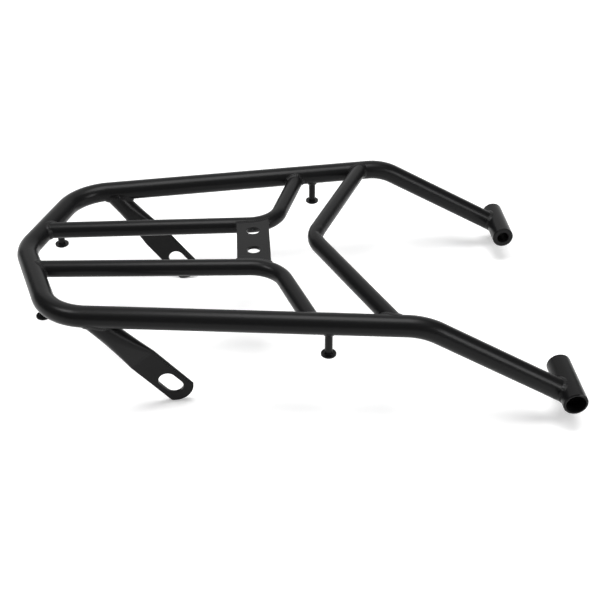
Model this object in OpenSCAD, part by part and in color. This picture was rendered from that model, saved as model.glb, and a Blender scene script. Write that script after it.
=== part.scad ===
// Rear luggage rack for a motorcycle, welded from round steel tube and powder coated.
// Frame: +X is the riding direction, +Y the left side of the machine, +Z up.
// Origin: midway between the two holes of the centre plate, on its top face.

/* [Outer hoop] */
// Outside diameter of the hoop tube
hoop_d = 20; // [18:0.5:22]
// Wall of the hoop tube
hoop_wall = 2; // [1.2:0.1:2.5]
// Height of the hoop's centre line, below the top of the centre plate
hoop_below = 3.5; // [3:0.1:4]
// Distance of the tail's apex behind the origin
tail_x = 222.1; // [215:0.1:235]
// Distance of the rear corners behind the origin
corner_x = 183.7; // [178:0.1:190]
// Distance of the front bends ahead of the origin
front_x = 146; // [140:1:155]
// Half of the distance between the rails at the rear corners
corner_half_w = 113.9; // [110:0.1:120]
// Half of the distance between the rails at the front bends
front_half_w = 152.3; // [146:0.1:158]
// Bend radius of the tail, on the centre line
tail_r = 46; // [40:1:55]
// Bend radius of the rear corners, on the centre line
corner_r = 50; // [44:1:54]
// Bend radius of the front bends, on the centre line
front_r = 58; // [48:1:64]

/* [Front bosses] */
// Distance of the bosses' axis ahead of the origin
boss_x = 283.5; // [274:0.5:295]
// Depth of the bosses' axis below the hoop's centre line
boss_drop = 74.1; // [68:0.1:84]
// Outside diameter of a boss
boss_d = 23; // [22:0.5:26]
// Length of a boss
boss_len = 61; // [52:1:66]
// Diameter of the bolt hole
boss_bore_d = 13; // [10:0.5:14]
// Diameter of the counterbore that takes the bolt's head
boss_head_d = 18.4; // [16:0.1:19]
// Depth of the counterbore
boss_head_depth = 14; // [8:1:20]
// Chamfer on a boss's two end faces
boss_chamfer = 1; // [0.4:0.1:1.5]
// Distance of an arm's end from the plane of symmetry
arm_half_w = 157; // [150:0.5:164]
// How far inside its arm's end the middle of a boss lies
boss_inset = 9.5; // [4:0.5:12]
// How far an arm's axis passes below the bosses' axis
arm_below = 4.7; // [1:0.1:5]

/* [Inner rails] */
// Outside diameter of the inner rails and of the brace
inner_d = 16; // [14:0.5:17]
// Wall of the inner rails and of the brace
inner_wall = 1.5; // [1:0.1:2]
// Half of the distance between the inner rails at the tail
inner_rear_half_w = 36.2; // [34:0.1:38]
// Half of the distance between the inner rails at their bend
inner_bend_half_w = 41; // [39:0.1:43]
// Distance of the inner rails' bend ahead of the origin
inner_bend_x = 21; // [20:0.5:26]
// Distance of the inner rails' front ends ahead of the origin
inner_front_x = 51.2; // [48:0.1:58]
// Bend radius of the inner rails
inner_bend_r = 35; // [30:1:38]
// Height of the inner rails' rear ends over the hoop's centre line
inner_rear_rise = 1; // [0:0.1:1.5]
// Depth of the inner rails' bend and front ends below the hoop's centre line
inner_drop = 3.2; // [2:0.1:3.3]

/* [V brace] */
// Distance of the brace's apex ahead of the origin
brace_apex_x = 58; // [54:0.1:62]
// Distance of the brace's ends ahead of the origin
brace_end_x = 122.2; // [116:0.1:124]
// Height of the brace's apex over the hoop's centre line
brace_apex_rise = 3.5; // [2:0.1:4]
// Height of the brace's ends over the hoop's centre line
brace_end_rise = 1.5; // [0.5:0.1:1.7]
// Bend radius of the brace
brace_r = 42; // [34:1:48]

/* [Centre plate] */
// Size of the plate along the machine
plate_len = 32.5; // [30:0.5:38]
// Thickness of the plate
plate_t = 3.5; // [3:0.1:4.5]
// Diameter of the plate's two holes
plate_hole_d = 13; // [8:0.5:14]
// Distance between the plate's two holes
plate_hole_pitch = 36.5; // [30:0.5:40]

/* [Legs] */
// Outside diameter of the leg tube
leg_d = 20; // [18:0.5:21]
// Wall of the leg tube
leg_wall = 2; // [1.5:0.1:2.2]
// Distance behind the origin at which the legs' axes leave their sawn upper ends
leg_root_x = 147.2; // [138:0.2:150]
// How far inside the rails' centre line the legs' axes leave their upper ends
leg_root_in = 1.5; // [0:0.1:1.5]
// Depth of the legs' sawn upper ends below the rails' centre line
leg_root_drop = 3; // [2:0.1:4]
// Distance of the leg slots behind the origin
leg_slot_x = 82.4; // [74:0.2:90]
// Distance of the leg slots from the plane of symmetry
leg_slot_half_w = 108.9; // [104:0.1:114]
// Depth of the leg slots below the hoop's centre line
leg_slot_drop = 84.2; // [76:0.1:92]
// Length of a leg that stays round, along its axis from the sawn end
leg_round = 18; // [18:1:24]
// Distance from the sawn end to where the tube is pressed flat
leg_flat_start = 66; // [62:1:70]
// Thickness of the pressed end
tab_t = 4; // [3.5:0.1:5]
// Distance from the slot's middle to the end of the tab
tab_reach = 22.7; // [20:0.1:26]
// Radius of the tab's rounded end
tab_end_r = 18; // [16.5:0.5:22]
// Width of the slot
slot_w = 17; // [11:0.5:18]
// Length of the slot, end to end
slot_len = 26.5; // [20:0.5:28]

/* [Cord pegs] */
// Diameter of a peg's stem
peg_d = 7; // [6:0.5:8]
// Diameter of a peg's head
peg_head_d = 14; // [11:0.5:16]
// Thickness of a peg's head
peg_head_t = 4.5; // [3.5:0.1:6]
// Height of the head's straight rim
peg_rim_t = 1.6; // [1:0.1:2]
// Distance from the hoop's centre line to the end of a peg
peg_reach = 36; // [28:0.5:40]
// Distance of the front left peg ahead of the origin
peg_left_x = 68; // [60:0.2:90]
// Distance of the front right peg ahead of the origin
peg_right_x = 63; // [60:0.2:90]
// Distance of the rear pegs from the plane of symmetry
peg_rear_y = 66; // [60:0.5:72]

/* [Welds] */
// Leg length of the beads on the tubes
bead = 2.3; // [2:0.1:3]
// Leg length of the beads on the plate
plate_bead = 1.6; // [1.2:0.1:2]
// Leg length of the beads on the pegs
peg_bead = 1.9; // [1.2:0.1:2]

/* [Hidden] */
$fn = 64;
eps = 0.01;
through = 1;

coat = [0.13, 0.13, 0.135];

// Heights in the part's own frame
hoop_z = -hoop_below;
boss_z = hoop_z - boss_drop;
boss_half_w = arm_half_w - boss_inset;
plate_z = 0;

// Points of the hoop's centre line, right arm first
rail_slope = (front_half_w - corner_half_w) / (front_x + corner_x);
function rail_y(x) = corner_half_w + rail_slope * (x + corner_x);
function tail_y_to_x(y) = -tail_x + (tail_x - corner_x) * y / corner_half_w;
function side(p, s) = [p[0], s * p[1], p[2]];
arm_end = [boss_x, arm_half_w, boss_z - arm_below];
front_bend = [front_x, front_half_w, hoop_z];
rear_corner = [-corner_x, corner_half_w, hoop_z];
tail_apex = [-tail_x, 0, hoop_z];
hoop_points = [
    side(arm_end, -1), side(front_bend, -1), side(rear_corner, -1), tail_apex,
    rear_corner, front_bend, arm_end
];
hoop_radii = [front_r, corner_r, tail_r, corner_r, front_r];

// Points of the right inner rail's centre line, from the tail to the outer rail
inner_points = [
    [tail_y_to_x(inner_rear_half_w), -inner_rear_half_w, hoop_z + inner_rear_rise],
    [inner_bend_x, -inner_bend_half_w, hoop_z - inner_drop],
    [inner_front_x, -rail_y(inner_front_x), hoop_z - inner_drop]
];

// The brace's ends stop short of the rail's centre line, inside the rail's own section
brace_stop = 5;
brace_end = [brace_end_x, rail_y(brace_end_x), hoop_z + brace_end_rise];
brace_apex = [brace_apex_x, 0, hoop_z + brace_apex_rise];
brace_tip = brace_end - brace_stop * unit(brace_end - brace_apex);

// The right leg's axis runs from its sawn end under the rail to the middle of the slot
leg_root = [-leg_root_x, -(rail_y(-leg_root_x) - leg_root_in), hoop_z - leg_root_drop];
leg_slot = [-leg_slot_x, -leg_slot_half_w, hoop_z - leg_slot_drop];
leg_len = norm(leg_slot - leg_root);
leg_end = leg_len + tab_reach;
// Pressing a tube flat keeps its girth, which gives the width of the tab
function pressed_t(w) = (PI * leg_d - 2 * w) / (PI - 2);
tab_w = (PI * leg_d - (PI - 2) * tab_t) / 2;

function unit(v) = v / norm(v);
function turn(u, w) = acos(min(1, max(-1, u * w)));
function frame(x, y, z, o) = [
    [x[0], y[0], z[0], o[0]],
    [x[1], y[1], z[1], o[1]],
    [x[2], y[2], z[2], o[2]],
    [0, 0, 0, 1]
];
// Any direction square to u, level where that is possible
function beside(u) = abs(u[2]) < 0.99 ? unit(cross(u, [0, 0, 1])) : [1, 0, 0];

// A straight round bar from a to b
module bar(a, b, r) {
    u = unit(b - a);
    x = beside(u);
    multmatrix(frame(x, cross(u, x), u, a)) cylinder(r = r, h = norm(b - a));
}

// A round bar bent at each inner point of a path: its straight lengths run a little into the bends
lap = 0.3;
module bent_bar(points, radii, r) {
    last = len(points) - 1;
    u = [for (i = [0:last - 1]) unit(points[i + 1] - points[i])];
    back = [for (i = [0:last]) i == 0 || i == last ? 0 : radii[i - 1] * tan(turn(u[i - 1], u[i]) / 2) - lap];
    for (i = [0:last - 1])
        bar(points[i] + u[i] * back[i], points[i + 1] - u[i] * back[i + 1], r);
    for (i = [1:last - 1])
        bend(points[i], u[i - 1], u[i], radii[i - 1], r);
}

// One bend between directions u and w around the vertex v: bending leaves the tube a trace slimmer
draw = 0.02;
module bend(v, u, w, bend_r, r) {
    a = turn(u, w);
    centre = v + unit(w - u) * bend_r / cos(a / 2);
    x = unit(v - u * bend_r * tan(a / 2) - centre);
    multmatrix(frame(x, u, cross(x, u), centre))
        rotate_extrude(angle = a) translate([bend_r, 0]) circle(r = r - draw);
}

module hoop_bar(r) {
    bent_bar(hoop_points, hoop_radii, r);
}

// Parts of the hoop that other members are fitted to, on the right-hand side
module side_rail(r) {
    bar(side(rear_corner, -1), side(front_bend, -1), r);
}

module tail_rail(r) {
    bar(tail_apex, side(rear_corner, -1), r);
}

module corner_rail(r) {
    u = unit(side(rear_corner, -1) - side(front_bend, -1));
    w = unit(tail_apex - side(rear_corner, -1));
    side_rail(r);
    bend(side(rear_corner, -1), u, w, corner_r, r);
}

module boss_bar(s, r) {
    bar([boss_x, s * (boss_half_w - boss_len / 2), boss_z],
        [boss_x, s * (boss_half_w + boss_len / 2), boss_z], r);
}

module outer_hoop() {
    color(coat) difference() {
        hoop_bar(hoop_d / 2);
        hoop_bar(hoop_d / 2 - hoop_wall);
        boss_bar(-1, boss_d / 2);
        boss_bar(1, boss_d / 2);
    }
}

// The right-hand piece is drawn, and the left-hand one is its mirror image
module on_side(s) {
    if (s < 0) children();
    else mirror([0, 1, 0]) children();
}

module inner_bar(r) {
    bent_bar(inner_points, [inner_bend_r], r);
}

module inner_rail(s) {
    color(coat) on_side(s) difference() {
        inner_bar(inner_d / 2);
        inner_bar(inner_d / 2 - inner_wall);
        side_rail(hoop_d / 2);
        tail_rail(hoop_d / 2);
    }
}

// The brace is bent so tightly that its inner side folds into a crease
module brace_bar(r, crease) {
    right = side(brace_tip, -1);
    u = unit(brace_apex - right);
    w = unit(brace_tip - brace_apex);
    back = brace_r * tan(turn(u, w) / 2);
    half = 90 - turn(u, w) / 2;
    inward = unit(w - u);
    along = unit(u + w);
    reach = 2 * brace_r;
    bar(right, brace_apex - u * (back - lap), r);
    bar(brace_apex + w * (back - lap), brace_tip, r);
    difference() {
        bend(brace_apex, u, w, brace_r, r);
        multmatrix(frame(inward, along, cross(inward, along), brace_apex))
            translate([crease / sin(half), 0, -inner_d])
            linear_extrude(2 * inner_d)
            polygon([[0, 0], [reach * cos(half), -reach * sin(half)], [reach * cos(half), reach * sin(half)]]);
    }
}

module v_brace() {
    crease = inner_d / 2 + 0.3;
    color(coat) difference() {
        brace_bar(inner_d / 2, crease);
        brace_bar(inner_d / 2 - inner_wall, crease - inner_wall);
        side_rail(hoop_d / 2);
        mirror([0, 1, 0]) side_rail(hoop_d / 2);
    }
}

// The plate's ends are ground to the inner rails that they are welded to
plate_half_w = inner_bend_half_w;
module plate_block(more) {
    translate([-plate_len / 2 - more, -plate_half_w, plate_z - plate_t - more])
        cube([plate_len + 2 * more, 2 * plate_half_w, plate_t + 2 * more]);
}

module inner_bars(r) {
    inner_bar(r);
    mirror([0, 1, 0]) inner_bar(r);
}

module centre_plate() {
    color(coat) difference() {
        plate_block(0);
        for (s = [-1, 1])
            translate([0, s * plate_hole_pitch / 2, plate_z - plate_t - through])
                cylinder(d = plate_hole_d, h = plate_t + 2 * through);
        inner_bars(inner_d / 2);
        // nothing is left beyond the rails
        for (s = [-1, 1])
            on_side(s) translate([-plate_len, -plate_half_w - through, plate_z - plate_t - through])
                cube([2 * plate_len, inner_d / 4, plate_t + 2 * through]);
    }
}

module front_boss(s) {
    color(coat) on_side(s)
        translate([boss_x, -boss_half_w, boss_z]) rotate([90, 0, 0]) difference() {
            boss_blank();
            translate([0, 0, -boss_len / 2 - through])
                cylinder(d = boss_bore_d, h = boss_len + 2 * through);
            translate([0, 0, boss_len / 2 - boss_head_depth])
                cylinder(d = boss_head_d, h = boss_head_depth + through);
        }
}

// Turned blank with a chamfer at each end, centred on the origin along Z
module boss_blank() {
    straight = boss_len - 2 * boss_chamfer;
    translate([0, 0, -straight / 2]) cylinder(d = boss_d, h = straight);
    for (s = [-1, 1])
        scale([1, 1, s]) translate([0, 0, straight / 2])
            cylinder(d1 = boss_d, d2 = boss_d - 2 * boss_chamfer, h = boss_chamfer);
}

// The leg's own frame: X across the tab, Y through it, Z down the leg
module in_leg_frame() {
    z = unit(leg_slot - leg_root);
    y = unit([0, 1, 0] - z[1] * z);
    multmatrix(frame(cross(y, z), y, z, leg_root)) children();
}

// Section of the tube while it is pressed: two half circles joined by flats
press_steps = 14;
arc_steps = 16;
press_power = 1.5;
sink = 1;
function pressed_w(f) = leg_d + (tab_w - leg_d) * pow(f, press_power);
function half_arc(h, r, a0, z) = [
    for (k = [0:arc_steps]) let (a = a0 + 180 * k / arc_steps)
        [h * (a0 < 0 ? 1 : -1) + r * cos(a), r * sin(a), z]
];
function pressed_ring(f, z) =
    let (w = pressed_w(f), t = pressed_t(w), h = max(eps, (w - t) / 2), r = t / 2 - 3 * eps)
    concat(half_arc(h, r, -90, z), half_arc(h, r, 90, z));

module pressed_part() {
    rings = [
        for (i = [-1:press_steps + 1])
            let (f = min(1, max(0, i / press_steps)),
                 z = leg_round + (leg_flat_start - leg_round) * f
                     + (i < 0 ? -sink : i > press_steps ? sink : 0))
            pressed_ring(f, z)
    ];
    n = 2 * (arc_steps + 1);
    m = len(rings);
    sides = [
        for (i = [0:m - 2]) for (k = [0:n - 1])
            let (a = i * n + k, b = i * n + (k + 1) % n)
            [a, a + n, b + n, b]
    ];
    polyhedron(
        points = [for (ring = rings) each ring],
        faces = concat(
            [[for (k = [0:n - 1]) k]],
            sides,
            [[for (k = [0:n - 1]) m * n - 1 - k]]
        )
    );
}

// Flat slot outline, with its length along Y
module slot_outline(w, l) {
    square([w, l - w], center = true);
    for (s = [-1, 1]) translate([0, s * (l - w) / 2]) circle(d = w);
}

module tab() {
    end_centre = leg_end - tab_end_r;
    difference() {
        intersection() {
            translate([0, 0, leg_flat_start])
                linear_extrude(leg_end - leg_flat_start)
                rotate(90) slot_outline(tab_t, tab_w);
            rotate([90, 0, 0]) translate([0, 0, -tab_t]) linear_extrude(2 * tab_t) {
                translate([0, end_centre]) circle(r = tab_end_r);
                translate([-tab_w, leg_flat_start - through])
                    square([2 * tab_w, end_centre - leg_flat_start + through]);
            }
        }
        translate([0, 0, leg_len]) rotate([90, 0, 0]) translate([0, 0, -tab_t])
            linear_extrude(2 * tab_t) slot_outline(slot_w, slot_len);
    }
}

// The round top of a leg reaches up past its root, and is sawn level there
module leg_top(r, more) {
    difference() {
        in_leg_frame() translate([0, 0, -leg_d]) cylinder(r = r, h = leg_d + leg_round);
        translate(leg_root + [-2 * leg_d, -2 * leg_d, more]) cube([4 * leg_d, 4 * leg_d, 2 * leg_d]);
    }
}
module leg(s) {
    bore_r = leg_d / 2 - leg_wall;
    taper_end = leg_flat_start - 6;
    color(coat) on_side(s) difference() {
        union() {
            leg_top(leg_d / 2, 0);
            in_leg_frame() {
                pressed_part();
                tab();
            }
        }
        in_leg_frame() {
            translate([0, 0, -leg_d - through]) cylinder(r = bore_r, h = leg_d + leg_round + through);
            translate([0, 0, leg_round - eps])
                cylinder(r1 = bore_r, r2 = leg_wall / 2, h = taper_end - leg_round);
        }
        corner_rail(hoop_d / 2);
    }
}

// Where each peg hangs from the hoop, on its centre line
peg_spots = [
    [peg_left_x, rail_y(peg_left_x), hoop_z],
    [peg_right_x, -rail_y(peg_right_x), hoop_z],
    [tail_y_to_x(peg_rear_y), peg_rear_y, hoop_z],
    [tail_y_to_x(peg_rear_y), -peg_rear_y, hoop_z]
];

module peg(i) {
    dome = peg_head_t - peg_rim_t;
    dome_r = (pow(peg_head_d / 2, 2) + pow(dome, 2)) / (2 * dome);
    color(coat) difference() {
        translate(peg_spots[i]) rotate([180, 0, 0]) {
            translate([0, 0, hoop_d / 4]) cylinder(d = peg_d, h = peg_reach - peg_head_t - hoop_d / 4);
            translate([0, 0, peg_reach - peg_head_t]) {
                cylinder(d = peg_head_d, h = peg_rim_t);
                intersection() {
                    translate([0, 0, peg_rim_t]) cylinder(d = peg_head_d, h = dome);
                    translate([0, 0, peg_head_t - dome_r]) rotate([90, 0, 0]) sphere(r = dome_r);
                }
            }
        }
        peg_rail(i, hoop_d / 2);
    }
}

// The straight part of the hoop above peg i
module peg_rail(i, r) {
    on_side(i % 2 == 0 ? 1 : -1)
        if (i < 2) side_rail(r);
        else tail_rail(r);
}

// A bead fills the corner between two members: it lies within its leg length of both
module weld_boss(s) {
    color(coat) on_side(s) difference() {
        intersection() {
            bar(side(front_bend, -1), side(arm_end, -1), hoop_d / 2 + bead);
            boss_bar(-1, boss_d / 2 + bead);
        }
        bar(side(front_bend, -1), side(arm_end, -1), hoop_d / 2);
        boss_bar(-1, boss_d / 2);
    }
}

module weld_leg(s) {
    color(coat) on_side(s) difference() {
        intersection() {
            leg_top(leg_d / 2 + bead, bead);
            corner_rail(hoop_d / 2 + bead);
        }
        leg_top(leg_d / 2, 0);
        corner_rail(hoop_d / 2);
    }
}

module weld_brace(s) {
    color(coat) on_side(s) difference() {
        intersection() {
            bar(side(brace_tip, -1), brace_apex, inner_d / 2 + bead);
            side_rail(hoop_d / 2 + bead);
        }
        bar(side(brace_tip, -1), brace_apex, inner_d / 2);
        side_rail(hoop_d / 2);
    }
}

module weld_rail_front(s) {
    color(coat) on_side(s) difference() {
        intersection() {
            bar(inner_points[1], inner_points[2], inner_d / 2 + bead);
            side_rail(hoop_d / 2 + bead);
        }
        bar(inner_points[1], inner_points[2], inner_d / 2);
        side_rail(hoop_d / 2);
    }
}

module weld_rail_rear(s) {
    color(coat) on_side(s) difference() {
        intersection() {
            bar(inner_points[0], inner_points[1], inner_d / 2 + bead);
            tail_rail(hoop_d / 2 + bead);
        }
        bar(inner_points[0], inner_points[1], inner_d / 2);
        tail_rail(hoop_d / 2);
    }
}

module weld_plate(s) {
    color(coat) on_side(s) difference() {
        intersection() {
            plate_block(plate_bead);
            inner_bar(inner_d / 2 + plate_bead);
        }
        plate_block(0);
        inner_bar(inner_d / 2);
        translate([-plate_len, -plate_half_w - through, -2 * inner_d])
            cube([2 * plate_len, inner_d / 4 + through, 4 * inner_d]);
    }
}

module weld_pegs() {
    color(coat) for (i = [0:3]) difference() {
        intersection() {
            translate(peg_spots[i]) rotate([180, 0, 0]) cylinder(d = peg_d + 2 * peg_bead, h = hoop_d);
            peg_rail(i, hoop_d / 2 + peg_bead);
        }
        translate(peg_spots[i]) rotate([180, 0, 0]) cylinder(d = peg_d, h = peg_reach);
        peg_rail(i, hoop_d / 2);
    }
}

outer_hoop();
inner_rail(1);  // inner_rail_left
inner_rail(-1);  // inner_rail_right
v_brace();
centre_plate();
front_boss(1);  // front_boss_left
front_boss(-1);  // front_boss_right
leg(1);  // leg_left
leg(-1);  // leg_right
peg(0);  // peg_front_left
peg(1);  // peg_front_right
peg(2);  // peg_rear_left
peg(3);  // peg_rear_right
weld_boss(1);  // weld_boss_left
weld_boss(-1);  // weld_boss_right
weld_leg(1);  // weld_leg_left
weld_leg(-1);  // weld_leg_right
weld_brace(1);  // weld_brace_left
weld_brace(-1);  // weld_brace_right
weld_rail_front(1);  // weld_rail_front_left
weld_rail_front(-1);  // weld_rail_front_right
weld_rail_rear(1);  // weld_rail_rear_left
weld_rail_rear(-1);  // weld_rail_rear_right
weld_plate(1);  // weld_plate_left
weld_plate(-1);  // weld_plate_right
weld_pegs();
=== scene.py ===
"""Rear luggage rack of a motorcycle: round steel tube, welded, with one coat of black powder.

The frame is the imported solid's own: +X is the riding direction, +Y the left side, +Z up, and
the origin lies between the two holes of the centre plate, on its top face.
"""

import math

import bpy
from mathutils import Matrix, Vector, noise
from mathutils.geometry import intersect_point_line


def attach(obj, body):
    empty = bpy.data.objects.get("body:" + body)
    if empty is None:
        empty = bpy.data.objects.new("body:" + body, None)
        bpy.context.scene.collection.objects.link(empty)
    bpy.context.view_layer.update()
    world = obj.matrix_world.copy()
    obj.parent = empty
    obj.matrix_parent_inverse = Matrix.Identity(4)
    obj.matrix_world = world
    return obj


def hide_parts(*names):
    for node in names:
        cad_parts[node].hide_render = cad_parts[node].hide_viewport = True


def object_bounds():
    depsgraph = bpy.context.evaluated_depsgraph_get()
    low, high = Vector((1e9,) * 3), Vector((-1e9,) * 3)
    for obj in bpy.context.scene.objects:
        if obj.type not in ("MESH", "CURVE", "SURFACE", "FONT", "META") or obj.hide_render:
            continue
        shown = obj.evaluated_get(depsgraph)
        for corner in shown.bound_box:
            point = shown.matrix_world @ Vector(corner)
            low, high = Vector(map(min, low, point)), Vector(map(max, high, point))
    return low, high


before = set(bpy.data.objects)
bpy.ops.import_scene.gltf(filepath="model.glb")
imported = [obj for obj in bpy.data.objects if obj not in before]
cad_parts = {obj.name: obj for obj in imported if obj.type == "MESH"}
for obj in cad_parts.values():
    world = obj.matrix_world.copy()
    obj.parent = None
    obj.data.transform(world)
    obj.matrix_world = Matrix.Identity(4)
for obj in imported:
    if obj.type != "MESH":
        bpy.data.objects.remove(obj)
cad_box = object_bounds()

# Powder coat
# Satin black polyester powder, sprayed on the finished frame and baked on in one go.
# It lies evenly over tube and weld alike, with the faint orange peel that baking leaves.
coat_colour = (0.006, 0.006, 0.0062, 1)
coat_roughness = 0.3
cloud_depth = 0.08
coat_gloss = 0.115
peel_size = 420
peel_depth = 0.00006
cloud_size = 26


class Sum:
    """A shader socket that adds and multiplies with numbers and other sockets."""

    def __init__(self, finish, socket):
        self.finish = finish
        self.socket = socket

    def maths(self, operation, first, second):
        return self.finish.node("ShaderNodeMath", {"operation": operation}, {0: first, 1: second})

    def __add__(self, other):
        return self.maths("ADD", self, other)

    def __sub__(self, other):
        return self.maths("SUBTRACT", self, other)

    def __mul__(self, other):
        return self.maths("MULTIPLY", self, other)

    def __rsub__(self, other):
        return self.maths("SUBTRACT", other, self)

    __radd__ = __add__
    __rmul__ = __mul__


class Finish:
    """The node tree of a material or the world, built one node at a time."""

    def __init__(self, owner):
        owner.use_nodes = True
        self.tree = owner.node_tree

    def node(self, kind, settings, inputs, output=0):
        made = self.tree.nodes.new(kind)
        for key, value in settings.items():
            setattr(made, key, value)
        for key, value in inputs.items():
            self.feed(made.inputs[key], value)
        return Sum(self, made.outputs[output])

    def feed(self, target, value):
        if isinstance(value, Sum):
            self.tree.links.new(value.socket, target)
        else:
            target.default_value = value


coat = bpy.data.materials.new("satin black powder coat")
spray = Finish(coat)
coat_shader = spray.tree.nodes["Principled BSDF"].inputs
spot = spray.node("ShaderNodeTexCoord", {}, {}, "Object")
peel = spray.node("ShaderNodeTexNoise", {}, {"Vector": spot, "Scale": peel_size, "Detail": 2.0})
cloud = spray.node("ShaderNodeTexNoise", {}, {"Vector": spot, "Scale": cloud_size, "Detail": 3.0})
spray.feed(coat_shader["Base Color"], coat_colour)
spray.feed(coat_shader["Specular IOR Level"], coat_gloss)
spray.feed(coat_shader["Roughness"], coat_roughness - cloud_depth / 2 + cloud_depth * cloud)
spray.feed(
    coat_shader["Normal"],
    spray.node("ShaderNodeBump", {}, {"Strength": 1.0, "Distance": peel_depth, "Height": peel}),
)


def coated(piece, *nodes):
    """Gives a finished piece its coat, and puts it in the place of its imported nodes."""
    piece.data.materials.clear()
    piece.data.materials.append(coat)
    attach(piece, "root")
    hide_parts(*nodes)


# Outer hoop
# One length of 20 mm round steel tube, bent five times on a tube bender: right arm, front
# bend, side rail, rear corner, tail, and the same back again on the left side.
hoop_r = 0.010
hoop_z = -0.0035
rear_corner = Vector((-0.1837, 0.1139, hoop_z))
front_bend = Vector((0.146, 0.1523, hoop_z))
tail_apex = Vector((-0.2221, 0, hoop_z))
boss_x = 0.2835
boss_drop = 0.0741
boss_z = hoop_z - boss_drop
arm_half_w = 0.157
arm_below = 0.0047
arm_end = Vector((boss_x, arm_half_w, boss_z - arm_below))
hoop_bends = (0.058, 0.050, 0.046, 0.050, 0.058)
bend_step = math.radians(2.5)
cope_r = 0.0112
cope_len = 0.08
sharp_edge = math.radians(34)
same_point = 1e-6


def right_of(point):
    """The mirror image of a point on the left side."""
    return Vector((point[0], -point[1], point[2]))


def start_piece(name):
    """Names the primitive just added and fixes its place in its mesh."""
    piece = bpy.context.object
    piece.name = name
    piece.data.name = name
    bpy.ops.object.transform_apply(location=True, rotation=True, scale=True)
    return piece


def finish_piece(piece, sharp=sharp_edge):
    """Merges a piece's doubles, turns its faces outwards and smooths it up to its sharp edges."""
    bpy.ops.object.select_all(action="DESELECT")
    piece.select_set(True)
    bpy.context.view_layer.objects.active = piece
    bpy.ops.object.mode_set(mode="EDIT")
    bpy.ops.mesh.select_all(action="SELECT")
    bpy.ops.mesh.remove_doubles(threshold=same_point)
    bpy.ops.mesh.fill_holes(sides=0)
    bpy.ops.mesh.select_all(action="SELECT")
    bpy.ops.mesh.normals_make_consistent(inside=False)
    bpy.ops.object.mode_set(mode="OBJECT")
    bpy.ops.object.shade_smooth_by_angle(angle=sharp)


def bent_tube(name, points, bends, radius, sides=72):
    """Draws a ring at the first point, pushes it along straight and spins it round each bend."""
    heading = (points[1] - points[0]).normalized()
    bpy.ops.object.select_all(action="DESELECT")
    bpy.ops.mesh.primitive_circle_add(
        vertices=sides,
        radius=radius,
        location=points[0],
        rotation=heading.to_track_quat("Z", "Y").to_euler(),
    )
    tube = start_piece(name)
    bpy.ops.object.mode_set(mode="EDIT")
    bpy.ops.mesh.select_all(action="SELECT")
    here = points[0]
    for corner, beyond, bend in zip(points[1:], points[2:], bends):
        onward = (beyond - corner).normalized()
        turn = heading.angle(onward)
        back = bend * math.tan(turn / 2)
        start = corner - heading * back
        axis = heading.cross(onward).normalized()
        bpy.ops.mesh.extrude_region_move(TRANSFORM_OT_translate={"value": start - here})
        bpy.ops.mesh.spin(
            steps=2 * math.ceil(turn / bend_step / 2),
            angle=-turn,
            center=start + axis.cross(heading) * bend,
            axis=axis,
        )
        here = corner + onward * back
        heading = onward
    bpy.ops.mesh.extrude_region_move(TRANSFORM_OT_translate={"value": points[-1] - here})
    bpy.ops.object.mode_set(mode="OBJECT")
    return tube


def cut(piece, cutter):
    """Takes one shape out of another, as a hole saw or an end mill does."""
    saw = piece.modifiers.new("cut", "BOOLEAN")
    saw.operation = "DIFFERENCE"
    saw.solver = "EXACT"
    saw.object = cutter
    bpy.context.view_layer.objects.active = piece
    bpy.ops.object.modifier_apply(modifier=saw.name)
    bpy.data.objects.remove(cutter)


def pin(name, radius, depth, place, turned=(0, 0, 0), sides=64):
    """A round bar, as a piece's start or as a cutter."""
    bpy.ops.object.select_all(action="DESELECT")
    bpy.ops.mesh.primitive_cylinder_add(
        vertices=sides, radius=radius, depth=depth, location=place, rotation=turned
    )
    return start_piece(name)


hoop = bent_tube(
    "hoop_tube",
    [right_of(arm_end), right_of(front_bend), right_of(rear_corner), tail_apex,
     rear_corner, front_bend, arm_end],
    hoop_bends,
    hoop_r,
)
finish_piece(hoop)
lying = (math.radians(90), 0, 0)
for side in (-1, 1):
    end = Vector((boss_x, side * arm_half_w, boss_z))
    cut(hoop, pin("cope", cope_r, cope_len, end, lying, 96))
finish_piece(hoop)
coated(hoop, "outer_hoop")

# Inner rails
# Two 16 mm tubes that run forward from the tail and turn out to the side rails between the
# plate and the brace. Their ends are coped, so they sit round the hoop's tube.
rail_r = 0.008
rail_bend = 0.035
rail_rear_y = 0.0362
rail_bend_x = 0.021
rail_bend_y = 0.041
rail_front_x = 0.0512
rail_rear_z = hoop_z + 0.001
rail_front_z = hoop_z - 0.0032


def side_rail_y(x):
    """How far out the left side rail's centre line is, at a place along the rack."""
    return rear_corner.y + (front_bend.y - rear_corner.y) * (x - rear_corner.x) / (
        front_bend.x - rear_corner.x
    )


def tail_x(y):
    """How far back the tail's centre line is, at a distance to the left of the middle."""
    return tail_apex.x + (rear_corner.x - tail_apex.x) * y / rear_corner.y


def mirrored(piece, name):
    """Copies a right-hand piece, with a mesh of its own, to the left-hand side."""
    bpy.ops.object.select_all(action="DESELECT")
    copy = piece.copy()
    copy.data = piece.data.copy()
    bpy.context.collection.objects.link(copy)
    copy.select_set(True)
    bpy.context.view_layer.objects.active = copy
    copy.scale = (1, -1, 1)
    return start_piece(name)


rail_points = [
    Vector((tail_x(rail_rear_y), -rail_rear_y, rail_rear_z)),
    Vector((rail_bend_x, -rail_bend_y, rail_front_z)),
    Vector((rail_front_x, -side_rail_y(rail_front_x), rail_front_z)),
]
rail = bent_tube("rail_tube_right", rail_points, (rail_bend,), rail_r)
for piece, node in ((mirrored(rail, "rail_tube_left"), "inner_rail_left"),
                    (rail, "inner_rail_right")):
    finish_piece(piece)
    coated(piece, node)

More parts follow.
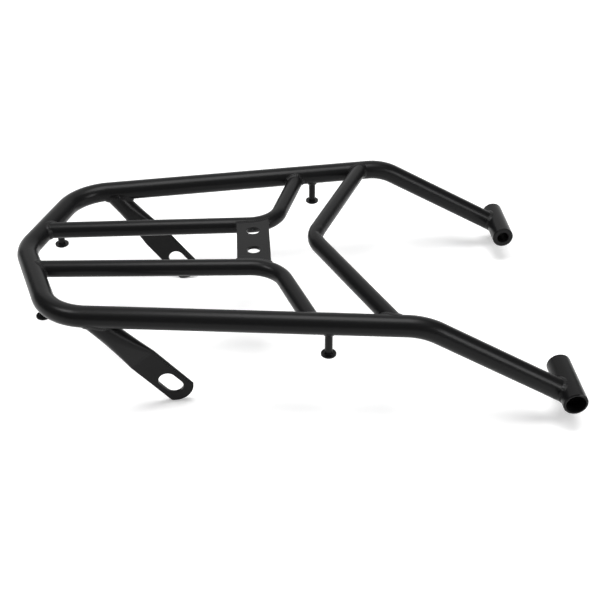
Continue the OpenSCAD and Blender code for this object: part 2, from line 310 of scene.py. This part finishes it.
# V brace
# One 16 mm tube across the front, bent so tightly at the middle that its inner side folds
# into a crease. Its coped ends are welded to the side rails, level with them.
brace_end_x = 0.1222
brace_apex = Vector((0.058, 0, hoop_z + 0.0035))
brace_end = Vector((brace_end_x, side_rail_y(brace_end_x), hoop_z + 0.0015))
brace_bend = 0.042
fold_r = rail_r + 0.0003

brace = bent_tube(
    "brace_tube", [right_of(brace_end), brace_apex, brace_end], (brace_bend,), rail_r
)
for corner in brace.data.vertices:
    feet = [
        intersect_point_line(corner.co, brace_apex, end)[0]
        for end in (brace_end, right_of(brace_end))
    ]
    foot = min(feet, key=lambda point: (corner.co - point).length)
    reach = (corner.co - foot).length
    if reach > fold_r:
        corner.co = foot + (corner.co - foot) * fold_r / reach
finish_piece(brace)
coated(brace, "v_brace")

# Centre plate
# A 3.5 mm steel plate between the inner rails, flush with the rack's top, with two 13 mm
# holes for a box's mounting screws. It is cut from sheet and its edges are broken.
plate_len = 0.0325
plate_t = 0.0035
plate_half_w = 0.043
hole_r = 0.0065
hole_y = 0.01825
plate_break = 0.0004
corner_angle = math.radians(32)


def broken_edges(piece, width, steps=3):
    """Rounds a piece's sharp edges a little, as deburring and the coat leave them."""
    finish_piece(piece)
    edge = piece.modifiers.new("edge", "BEVEL")
    edge.width = width
    edge.segments = steps
    edge.limit_method = "ANGLE"
    edge.angle_limit = corner_angle
    edge.use_clamp_overlap = False
    edge.harden_normals = True
    bpy.ops.object.modifier_apply(modifier=edge.name)


bpy.ops.object.select_all(action="DESELECT")
bpy.ops.mesh.primitive_cube_add(size=1, location=(0, 0, -plate_t / 2))
bpy.context.object.scale = (plate_len, 2 * plate_half_w, plate_t)
plate = start_piece("plate_steel")
for side in (-1, 1):
    cut(plate, pin("hole", hole_r, 4 * plate_t, (0, side * hole_y, -plate_t / 2)))
broken_edges(plate, plate_break)
coated(plate, "centre_plate")

# Front bosses
# Two turned steel sleeves across the ends of the arms. A 13 mm bore takes the bolt, and the
# counterbore on the outer side hides its head.
boss_r = 0.0115
boss_len = 0.061
boss_y = 0.1475
bore_r = 0.0065
head_r = 0.0092
head_depth = 0.014
boss_chamfer = 0.001
bore_break = 0.00025

boss = pin("boss_sleeve_right", boss_r, boss_len, (boss_x, -boss_y, boss_z), lying, 96)
broken_edges(boss, boss_chamfer, 1)
cut(boss, pin("bore", bore_r, 2 * boss_len, (boss_x, -boss_y, boss_z), lying, 96))
outer_end = -boss_y - boss_len / 2
cut(boss, pin("counterbore", head_r, 2 * head_depth, (boss_x, outer_end, boss_z), lying, 96))
for piece, node in ((mirrored(boss, "boss_sleeve_left"), "front_boss_left"),
                    (boss, "front_boss_right")):
    broken_edges(piece, bore_break)
    coated(piece, node)

# Legs
# A short 20 mm tube under each rear corner, sawn level where it meets the rail. A die presses
# its lower end flat, which keeps its girth, and the tab is rounded and slotted for the bolt.
leg_r = 0.010
tab_t = 0.004
tab_end_r = 0.018
leg_round = 0.018
leg_flat = 0.066
press_power = 1.5
slot_w = 0.017
slot_len = 0.0265
tab_reach = 0.0227
tab_break = 0.00035
press_steps = 24
flat_enough = math.radians(0.1)
saw_size = 0.08
leg_root_x = -0.1472
leg_root_in = 0.0015
leg_root = Vector((leg_root_x, leg_root_in - side_rail_y(leg_root_x), hoop_z - 0.003))
leg_slot = Vector((-0.0824, -0.1089, hoop_z - 0.0842))
slot_z = (leg_slot - leg_root).length
leg_end = slot_z + tab_reach
tab_w = (math.pi * 2 * leg_r - (math.pi - 2) * tab_t) / 2


def pressed(point):
    """Where a point of the round tube goes when the die has closed, in the leg's own frame."""
    share = min(1, max(0, (point.z - leg_round) / (leg_flat - leg_round)))
    wide = 2 * leg_r + (tab_w - 2 * leg_r) * share**press_power
    thick = (math.pi * 2 * leg_r - 2 * wide) / (math.pi - 2)
    along = leg_r * math.atan2(abs(point.y), abs(point.x))
    round_part = math.pi * thick / 4
    if along < round_part:
        across = (wide - thick) / 2 + thick / 2 * math.cos(2 * along / thick)
        through = thick / 2 * math.sin(2 * along / thick)
    else:
        across = (wide - thick) / 2 - (along - round_part)
        through = thick / 2
    return Vector((math.copysign(across, point.x), math.copysign(through, point.y), point.z))


bpy.ops.object.select_all(action="DESELECT")
bpy.ops.mesh.primitive_circle_add(vertices=96, radius=leg_r, location=(0, 0, -2 * leg_r))
leg = start_piece("leg_tube_right")
bpy.ops.object.mode_set(mode="EDIT")
bpy.ops.mesh.select_all(action="SELECT")
stops = [-2 * leg_r]
for step in range(press_steps + 1):
    stops.append(leg_round + (leg_flat - leg_round) * step / press_steps)
for start, stop in zip(stops, stops[1:] + [leg_end]):
    bpy.ops.mesh.extrude_region_move(TRANSFORM_OT_translate={"value": (0, 0, stop - start)})
bpy.ops.object.mode_set(mode="OBJECT")
for corner in leg.data.vertices:
    corner.co = pressed(corner.co)
finish_piece(leg)
bpy.ops.object.mode_set(mode="EDIT")
bpy.ops.mesh.select_all(action="SELECT")
bpy.ops.mesh.dissolve_limited(angle_limit=flat_enough)
bpy.ops.object.mode_set(mode="OBJECT")

end_centre = leg_end - tab_end_r
bpy.ops.object.select_all(action="DESELECT")
bpy.ops.mesh.primitive_cube_add(size=1, location=(0, 0, end_centre + tab_end_r))
bpy.context.object.scale = (4 * tab_w, 4 * tab_t, 2 * tab_end_r)
corners = start_piece("tab_corners")
cut(corners, pin("tab_end", tab_end_r, 8 * tab_t, (0, 0, end_centre), lying, 96))
cut(leg, corners)
slot = pin("slot", slot_w / 2, 4 * tab_t, (0, 0, slot_z), lying, 48)
for corner in slot.data.vertices:
    corner.co.z += math.copysign((slot_len - slot_w) / 2, corner.co.z - slot_z)
cut(leg, slot)

down = (leg_slot - leg_root).normalized()
through_tab = (Vector((0, 1, 0)) - down.y * down).normalized()
across = through_tab.cross(down)
leg.matrix_world = Matrix.Translation(leg_root) @ Matrix(
    (across, through_tab, down)
).transposed().to_4x4()
leg.select_set(True)
bpy.context.view_layer.objects.active = leg
start_piece("leg_tube_right")
bpy.ops.object.select_all(action="DESELECT")
bpy.ops.mesh.primitive_cube_add(size=saw_size, location=leg_root + Vector((0, 0, saw_size / 2)))
cut(leg, start_piece("above_saw"))
for piece, node in ((mirrored(leg, "leg_tube_left"), "leg_left"), (leg, "leg_right")):
    broken_edges(piece, tab_break)
    coated(piece, node)

# Pegs
# Four 7 mm pins with mushroom heads, two under the side rails and two under the tail. They
# are headed cold from wire and welded on, and cargo straps hook over them.
peg_r = 0.0035
peg_head_r = 0.007
peg_head_t = 0.0045
peg_rim_t = 0.0016
peg_reach = 0.036
neck_t = 0.0006
neck_flare = 1.15
rim_break = 0.0003
rim_inset = 0.04
rim_flare = 1.02
dome_steps = 7
dome_t = peg_head_t - peg_rim_t
dome_r = (peg_head_r**2 + dome_t**2) / (2 * dome_t)
front_left_x = 0.068
front_right_x = 0.063
rear_y = 0.066
peg_spots = {
    "peg_front_left": Vector((front_left_x, side_rail_y(front_left_x), hoop_z)),
    "peg_front_right": Vector((front_right_x, -side_rail_y(front_right_x), hoop_z)),
    "peg_rear_left": Vector((tail_x(rear_y), rear_y, hoop_z)),
    "peg_rear_right": Vector((tail_x(rear_y), -rear_y, hoop_z)),
}


def grow(height, factor):
    """Extrudes the selected end of a pin downwards and makes its rim larger or smaller."""
    bpy.ops.mesh.extrude_region_move(TRANSFORM_OT_translate={"value": (0, 0, -height)})
    bpy.ops.transform.resize(value=(factor, factor, 1))


bpy.ops.object.select_all(action="DESELECT")
bpy.ops.mesh.primitive_circle_add(vertices=48, radius=peg_r, fill_type="NGON")
peg = start_piece("peg")
bpy.ops.object.mode_set(mode="EDIT")
bpy.ops.mesh.select_all(action="SELECT")
grow(peg_reach - peg_head_t - neck_t, 1)
grow(neck_t, neck_flare)
grow(0, peg_head_r / peg_r / neck_flare - rim_inset)
grow(rim_break, rim_flare)
grow(peg_rim_t - rim_break, 1)
rim = peg_head_r * (1 - rim_inset * neck_flare * peg_r / peg_head_r) * rim_flare
fallen = 0
for step in range(1, dome_steps + 1):
    lean = math.asin(peg_head_r / dome_r) * (1 - step / (dome_steps + 0.5))
    drop = dome_r * math.cos(lean) - (dome_r - dome_t)
    grow(drop - fallen, dome_r * math.sin(lean) / rim)
    rim = dome_r * math.sin(lean)
    fallen = drop
bpy.ops.object.mode_set(mode="OBJECT")
for node, spot in peg_spots.items():
    piece = peg.copy()
    piece.data = peg.data.copy()
    bpy.context.collection.objects.link(piece)
    bpy.ops.object.select_all(action="DESELECT")
    piece.select_set(True)
    bpy.context.view_layer.objects.active = piece
    piece.location = spot
    start_piece(node.replace("peg", "pin"))
    finish_piece(piece)
    coated(piece, node)
bpy.data.objects.remove(peg)

# Weld beads
# Each member is tacked in a jig and welded all round by hand with a MIG torch. The beads
# are slim fillets with faint crescents where the pool has set, softened by the coat.
bead_leg = 0.0023
leg_bead = 0.0028
plate_bead = 0.0018
peg_bead = 0.0026
bead_crown = 0.1
bead_waver = 0.12
waver_size = 160
bead_sunk = 0.00012
bead_cover = 0.0003
bead_pitch = 0.0021
bead_ripple = 0.00009
coarse_ripple = 0.00022
ripple_bow = 0.35
bead_step = 0.00035
bead_points = 8
tangent_span = 4
chords = 24
touching = 1e-7
least_step = 1e-5
bead_edge = math.radians(60)
seam_run = 0.03


class Member:
    """A tube or a plate, as a core and the distance from that core to its skin."""

    def __init__(self, core, reach):
        self.core = core
        self.reach = reach

    def out(self, point):
        return (point - self.core(point)).normalized()

    def gap(self, point):
        return (point - self.core(point)).length - self.reach

    def skin(self, point):
        return point - self.out(point) * (self.gap(point) + bead_sunk)


def nearest_on(line):
    """Finds the nearest point of a tube's centre line."""

    def core(point):
        best = None
        for start, end in zip(line, line[1:]):
            foot, share = intersect_point_line(point, start, end)
            foot = start if share < 0 else end if share > 1 else foot
            if best is None or (point - foot).length < (point - best).length:
                best = foot
        return best

    return core


def centre_line(points, bends):
    """The centre line of a bent tube, with its bends as short chords."""
    line = [points[0]]
    for before, corner, after, bend in zip(points, points[1:], points[2:], bends):
        heading = (corner - before).normalized()
        onward = (after - corner).normalized()
        turn = heading.angle(onward)
        axis = heading.cross(onward).normalized()
        start = corner - heading * bend * math.tan(turn / 2)
        pivot = start + axis.cross(heading) * bend
        for step in range(chords + 1):
            turned = Matrix.Rotation(turn * step / chords, 3, axis)
            line.append(pivot + turned @ (start - pivot))
    line.append(points[-1])
    return line


def touch(start, heading, main, longest):
    """Runs from a point along a heading until it touches a member, or is nearest to it."""
    travel = 0
    gap = main.gap(start)
    while gap > touching and travel < longest:
        further = min(longest, travel + max(gap, least_step))
        left = main.gap(start + heading * further)
        if left > gap:
            break
        travel, gap = further, left
    return start + heading * travel


def ring_round(start, heading, radius, steps=180):
    """Once round a tube, as a closed ring of points."""
    side = heading.orthogonal().normalized()
    return [
        start + Matrix.Rotation(2 * math.pi * step / steps, 3, heading) @ side * radius
        for step in range(steps)
    ]


def seam_round(branch_start, branch_end, radius, main):
    """Where a round branch's skin meets a member, as a closed ring of points."""
    heading = (branch_end - branch_start).normalized()
    longest = (branch_end - branch_start).length
    ring = ring_round(branch_start, heading, radius)
    return [touch(point, heading, main, longest) for point in ring]


def evenly(seam):
    """The same closed seam with its points a bead step apart."""
    ends = seam[1:] + seam[:1]
    total = sum((end - start).length for start, end in zip(seam, ends))
    count = round(total / bead_step)
    points = []
    passed = 0
    for start, end in zip(seam, ends):
        length = (end - start).length
        while len(points) < count and len(points) * total / count < passed + length:
            points.append(start.lerp(end, (len(points) * total / count - passed) / length))
        passed += length
    return points


def lay_bead(name, seam, branch, main, leg, ripple):
    """Bends a grid into a bead along a closed seam, from a toe on the branch to one on the main."""
    seam = evenly(seam)
    count = len(seam)
    pitches = max(1, round(count * bead_step / bead_pitch))
    rings = []
    tangents = [
        (seam[(i + tangent_span) % count] - seam[i - tangent_span]).normalized()
        for i in range(count)
    ]
    outs = [(branch.out(point), main.out(point)) for point in seam]
    side = math.copysign(1, sum(t.cross(b).dot(m) for t, (b, m) in zip(tangents, outs)))
    for i, (point, tangent, (on_branch, on_main)) in enumerate(zip(seam, tangents, outs)):
        drift = noise.noise(point * waver_size)
        width = leg * (1 + bead_waver * drift)
        out = (on_branch + on_main).normalized()
        toe = branch.skin(point + tangent.cross(on_branch) * side * width)
        heel = main.skin(point - tangent.cross(on_main) * side * width)
        ring = []
        for j in range(bead_points + 1):
            share = j / bead_points
            crown = math.sin(math.pi * share)
            spot = toe.lerp(heel, share)
            low = min(branch.gap(spot), main.gap(spot))
            lift = max(bead_crown * width * crown, bead_cover * crown - low)
            wave = math.cos(2 * math.pi * (i * pitches / count + ripple_bow * crown))
            lift += ripple * crown * wave * (1 + 0.5 * drift)
            ring.append(spot + out * lift)
        ring.append(point - out * 0.5 * leg)
        rings.append(ring)
    bpy.ops.object.select_all(action="DESELECT")
    bpy.ops.mesh.primitive_grid_add(x_subdivisions=count, y_subdivisions=bead_points + 2)
    bead = start_piece(name)
    columns = count + 1
    for index, corner in enumerate(bead.data.vertices):
        ring = rings[index % columns % count]
        corner.co = ring[index // columns % (bead_points + 2)]
    finish_piece(bead, bead_edge)
    return bead


hoop_line = centre_line(
    [right_of(front_bend), right_of(rear_corner), tail_apex], (hoop_bends[1],)
)
plate_edge = 0.0005
plate_inside = -0.02
peg_foot = Vector((0, 0, 0.02))
boss_end = Vector((0, 0.04, 0))
boss_spot = Vector((boss_x, -boss_y, boss_z))


def in_plate(point):
    """The nearest point of the plate's flat core, one rounded edge inside its skin."""
    half = plate_len / 2 - plate_edge
    x = min(half, max(-half, point.x))
    z = min(-plate_edge, max(plate_edge - plate_t, point.z))
    return Vector((x, point.y, z))


def plate_outline(y, points=24, rounding=5):
    """Once round the plate's edge, as points at a distance from the middle."""
    half = plate_len / 2 - plate_edge
    core = [(half, -plate_edge), (-half, -plate_edge), (-half, plate_edge - plate_t),
            (half, plate_edge - plate_t)]
    outline = []
    for turn, (x, z), (next_x, next_z) in zip(range(1, 5), core, core[1:] + core[:1]):
        for step in range(points):
            share = step / points
            facing = Vector((math.cos(turn * math.pi / 2), 0, math.sin(turn * math.pi / 2)))
            corner = Vector((x + (next_x - x) * share, y, z + (next_z - z) * share))
            outline.append(corner + facing * plate_edge)
        for step in range(rounding):
            angle = (turn + step / rounding) * math.pi / 2
            facing = Vector((math.cos(angle), 0, math.sin(angle)))
            outline.append(Vector((next_x, y, next_z)) + facing * plate_edge)
    return outline


def end_seam(start, end, radius, main):
    """Where the end of a straight tube meets a member: only its last stretch is traced."""
    heading = (end - start).normalized()
    return seam_round(end - heading * seam_run, end, radius, main)


hoop_skin = Member(nearest_on(hoop_line), hoop_r)
arm_skin = Member(nearest_on([right_of(front_bend), right_of(arm_end)]), hoop_r)
boss_skin = Member(nearest_on([boss_spot - boss_end, boss_spot + boss_end]), boss_r)
rail_skin = Member(nearest_on(centre_line(rail_points, (rail_bend,))), rail_r)
brace_skin = Member(nearest_on([brace_apex, right_of(brace_end)]), rail_r)
leg_skin = Member(nearest_on([leg_root, leg_root + down * leg_round]), leg_r)
plate_skin = Member(in_plate, plate_edge)
outward = Vector((0, -1, 0))

beads = {
    "boss": (
        end_seam(right_of(front_bend), right_of(arm_end), hoop_r, boss_skin),
        arm_skin, boss_skin, bead_leg, bead_ripple,
    ),
    "leg": (
        [
            touch(point, -down, hoop_skin, (point.z - leg_root.z) / down.z)
            for point in ring_round(leg_root + down * seam_run, -down, leg_r)
        ],
        leg_skin, hoop_skin, leg_bead, bead_ripple,
    ),
    "brace": (
        end_seam(brace_apex, right_of(brace_end), rail_r, hoop_skin),
        brace_skin, hoop_skin, bead_leg, bead_ripple,
    ),
    "rail_front": (
        end_seam(rail_points[1], rail_points[2], rail_r, hoop_skin),
        rail_skin, hoop_skin, bead_leg, bead_ripple,
    ),
    "rail_rear": (
        end_seam(rail_points[1], rail_points[0], rail_r, hoop_skin),
        rail_skin, hoop_skin, bead_leg, bead_ripple,
    ),
    "plate": (
        [touch(point, outward, rail_skin, plate_half_w) for point in plate_outline(plate_inside)],
        plate_skin, rail_skin, plate_bead, coarse_ripple,
    ),
}
for place, (seam, branch, main, leg_length, ripple) in beads.items():
    bead = lay_bead(f"bead_{place}_right", seam, branch, main, leg_length, ripple)
    twin = mirrored(bead, f"bead_{place}_left")
    finish_piece(twin, bead_edge)
    coated(bead, f"weld_{place}_right")
    coated(twin, f"weld_{place}_left")

peg_beads = []
for node, spot in peg_spots.items():
    foot = spot - peg_foot
    skin = Member(nearest_on([foot, spot]), peg_r)
    hoop_side = Member(
        nearest_on([Vector((p.x, math.copysign(p.y, spot.y), p.z)) for p in hoop_line]), hoop_r
    )
    seam = seam_round(foot, spot, peg_r, hoop_side)
    peg_beads.append(lay_bead("bead_pegs", seam, skin, hoop_side, peg_bead, bead_ripple))
bpy.ops.object.select_all(action="DESELECT")
for bead in peg_beads:
    bead.select_set(True)
bpy.context.view_layer.objects.active = peg_beads[0]
bpy.ops.object.join()
bpy.ops.object.shade_smooth_by_angle(angle=bead_edge)
coated(peg_beads[0], "weld_pegs")

# Floor
# A wide white table under the rack's lowest points. It fades into the white surround a
# step away from the rack, and keeps only the rack's soft shadow.
floor_colour = (0.93, 0.93, 0.93, 1)
floor_roughness = 0.9
floor_size = 12
floor_gap = 0.0005
floor_lift = 0.22
fade_start = 0.5
fade_length = 1.0


def seen_directly(finish):
    """One for the rays that show a thing to the camera, in gloss or through glass, or else zero."""
    ray = finish.tree.nodes.new("ShaderNodeLightPath").outputs
    rays = Sum(finish, ray["Is Camera Ray"]) + Sum(finish, ray["Is Glossy Ray"])
    rays = rays + Sum(finish, ray["Is Transmission Ray"])
    return rays.maths("MINIMUM", rays, 1.0)


floor_paint = bpy.data.materials.new("white table")
paint = Finish(floor_paint)
table = paint.tree.nodes["Principled BSDF"].inputs
paint.feed(table["Base Color"], floor_colour)
paint.feed(table["Roughness"], floor_roughness)
floor_spot = paint.node("ShaderNodeTexCoord", {}, {}, "Object")
away = paint.node("ShaderNodeVectorMath", {"operation": "LENGTH"}, {0: floor_spot}, "Value")
fade = paint.node(
    "ShaderNodeMath",
    {"operation": "MULTIPLY", "use_clamp": True},
    {0: away - fade_start, 1: 1 / fade_length},
)
paint.feed(
    table["Emission Color"], (floor_lift + (1 - floor_lift) * fade) * seen_directly(paint)
)
paint.feed(table["Emission Strength"], 1.0)
bpy.ops.object.select_all(action="DESELECT")
bpy.ops.mesh.primitive_plane_add(size=floor_size, location=(0, 0, cad_box[0][2] - floor_gap))
floor = start_piece("floor")
floor.data.materials.append(floor_paint)

# Room
# The studio's dark walls beside and behind the camera. Only the coat's gloss shows them, so
# the tubes have dark middles between the soft boxes above and the white table below.
wall_colour = (0.1, 0.1, 0.1, 1)
room_size = 3.6
room_height = 3.0
room_z = cad_box[0][2] - 0.01 + room_height / 2

wall_paint = bpy.data.materials.new("dark wall")
wall_shade = Finish(wall_paint)
wall_shade.feed(wall_shade.tree.nodes["Principled BSDF"].inputs["Base Color"], wall_colour)
bpy.ops.object.select_all(action="DESELECT")
bpy.ops.mesh.primitive_cube_add(size=1, location=(0, 0, room_z))
bpy.context.object.scale = (room_size, room_size, room_height)
room = start_piece("room")
bpy.context.tool_settings.mesh_select_mode = (False, False, True)
for side in room.data.polygons:
    side.select = side.normal.y > 0.5 or abs(side.normal.z) > 0.5
bpy.ops.object.mode_set(mode="EDIT")
bpy.ops.mesh.delete(type="FACE")
bpy.ops.object.mode_set(mode="OBJECT")
room.data.materials.append(wall_paint)
room.visible_camera = False
room.visible_diffuse = False
room.visible_shadow = False

# Surround
# An even white studio: the camera and the gloss see it as white, and its light on the rack
# is level, so the coat renders about as dark as it is.
surround_light = 0.3

world = bpy.data.worlds.new("white surround")
bpy.context.scene.world = world
around = Finish(world)
glow = around.tree.nodes["Background"].inputs
around.feed(glow["Color"], (1, 1, 1, 1))
around.feed(glow["Strength"], surround_light + (1 - surround_light) * seen_directly(around))

# Lamps
# One broad soft box overhead and a smaller one on each side, as in a product studio. Each
# has its place, its width and its power in watts, and faces the middle of the plate.
for name, place, size, watts in (
    ("soft box overhead", Vector((0.12, -0.04, 1.5)), 0.9, 20),
    ("soft box on the right", Vector((1.28, -0.85, 0.54)), 0.6, 10),
    ("soft box on the left", Vector((-0.96, -0.2, 1.27)), 0.4, 9),
):
    lamp = bpy.data.lights.new(name, "AREA")
    lamp.size = size
    lamp.energy = watts
    stand = bpy.data.objects.new(name, lamp)
    bpy.context.collection.objects.link(stand)
    stand.location = place
    stand.rotation_euler = (-place).to_track_quat("-Z", "Y").to_euler()

# Camera
# Stands at the rack's right side, about a metre off, and looks down on it at 34 degrees.
azimuth = math.radians(-3.28)
elevation = math.radians(33.99)
roll = math.radians(-0.25)
focal_length = 61.785
sensor_width = 36
camera_spot = Vector((-0.00435, -0.87539, 0.51765))

ahead = Vector((
    -math.sin(azimuth) * math.cos(elevation),
    math.cos(azimuth) * math.cos(elevation),
    -math.sin(elevation),
))
level_right = ahead.cross(Vector((0, 0, 1))).normalized()
level_up = level_right.cross(ahead)
right = level_right * math.cos(roll) + level_up * math.sin(roll)
up = level_up * math.cos(roll) - level_right * math.sin(roll)
lens = bpy.data.cameras.new("camera")
lens.lens = focal_length
lens.sensor_width = sensor_width
camera = bpy.data.objects.new("camera", lens)
bpy.context.collection.objects.link(camera)
facing = Matrix((right, up, -ahead)).transposed().to_4x4()
camera.matrix_world = Matrix.Translation(camera_spot) @ facing
bpy.context.scene.camera = camera
bpy.context.scene.view_settings.view_transform = "Standard"
